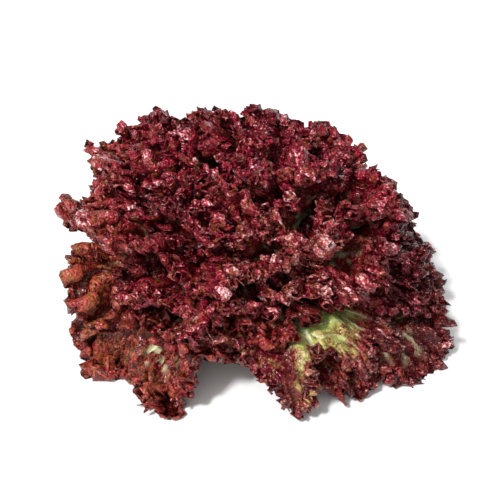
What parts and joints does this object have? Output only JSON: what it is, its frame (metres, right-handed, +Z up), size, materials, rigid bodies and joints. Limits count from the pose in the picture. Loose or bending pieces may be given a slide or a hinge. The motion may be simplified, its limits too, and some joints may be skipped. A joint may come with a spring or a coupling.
{
  "type": "lollo rosso lettuce head",
  "caption": "Loose dome-shaped lettuce head with deeply frilled burgundy leaves spiralling up a short cut stem that it stands on.",
  "frame": {"origin": "centre of the cut face under the stem, which stands on the surface", "axes": "+Z up from the cut face to the heart, +X to the right of the front view, -Y to the front"},
  "size_m": [0.2385, 0.2296, 0.1486],
  "materials": {
    "stem": "moist pale green flesh, cut flat at the foot",
    "heart_leaf": "waxy, finely frilled, deep burgundy",
    "middle_leaf": "waxy, frilled, burgundy with a green foot",
    "outer_leaf": "waxy, broad frills, brown red with a green rib"
  },
  "bodies": {
    "root": {"heart_leaf_01": "heart_leaf", "heart_leaf_02": "heart_leaf", "heart_leaf_03": "heart_leaf", "heart_leaf_04": "heart_leaf", "heart_leaf_05": "heart_leaf", "heart_leaf_06": "heart_leaf", "heart_leaf_07": "heart_leaf", "heart_leaf_08": "heart_leaf", "heart_leaf_09": "heart_leaf", "heart_leaf_10": "heart_leaf", "heart_leaf_11": "heart_leaf", "middle_leaf_01": "middle_leaf", "middle_leaf_02": "middle_leaf", "middle_leaf_03": "middle_leaf", "middle_leaf_04": "middle_leaf", "middle_leaf_05": "middle_leaf", "middle_leaf_06": "middle_leaf", "middle_leaf_07": "middle_leaf", "middle_leaf_08": "middle_leaf", "middle_leaf_09": "middle_leaf", "middle_leaf_10": "middle_leaf", "middle_leaf_11": "middle_leaf", "middle_leaf_12": "middle_leaf", "middle_leaf_13": "middle_leaf", "middle_leaf_14": "middle_leaf", "middle_leaf_15": "middle_leaf", "middle_leaf_16": "middle_leaf", "middle_leaf_17": "middle_leaf", "outer_leaf_01": "outer_leaf", "outer_leaf_02": "outer_leaf", "outer_leaf_03": "outer_leaf", "outer_leaf_04": "outer_leaf", "outer_leaf_05": "outer_leaf", "outer_leaf_06": "outer_leaf", "outer_leaf_07": "outer_leaf", "outer_leaf_08": "outer_leaf", "outer_leaf_09": "outer_leaf", "outer_leaf_10": "outer_leaf", "outer_leaf_11": "outer_leaf", "outer_leaf_12": "outer_leaf", "stem": "stem"}
  },
  "joints": []
}
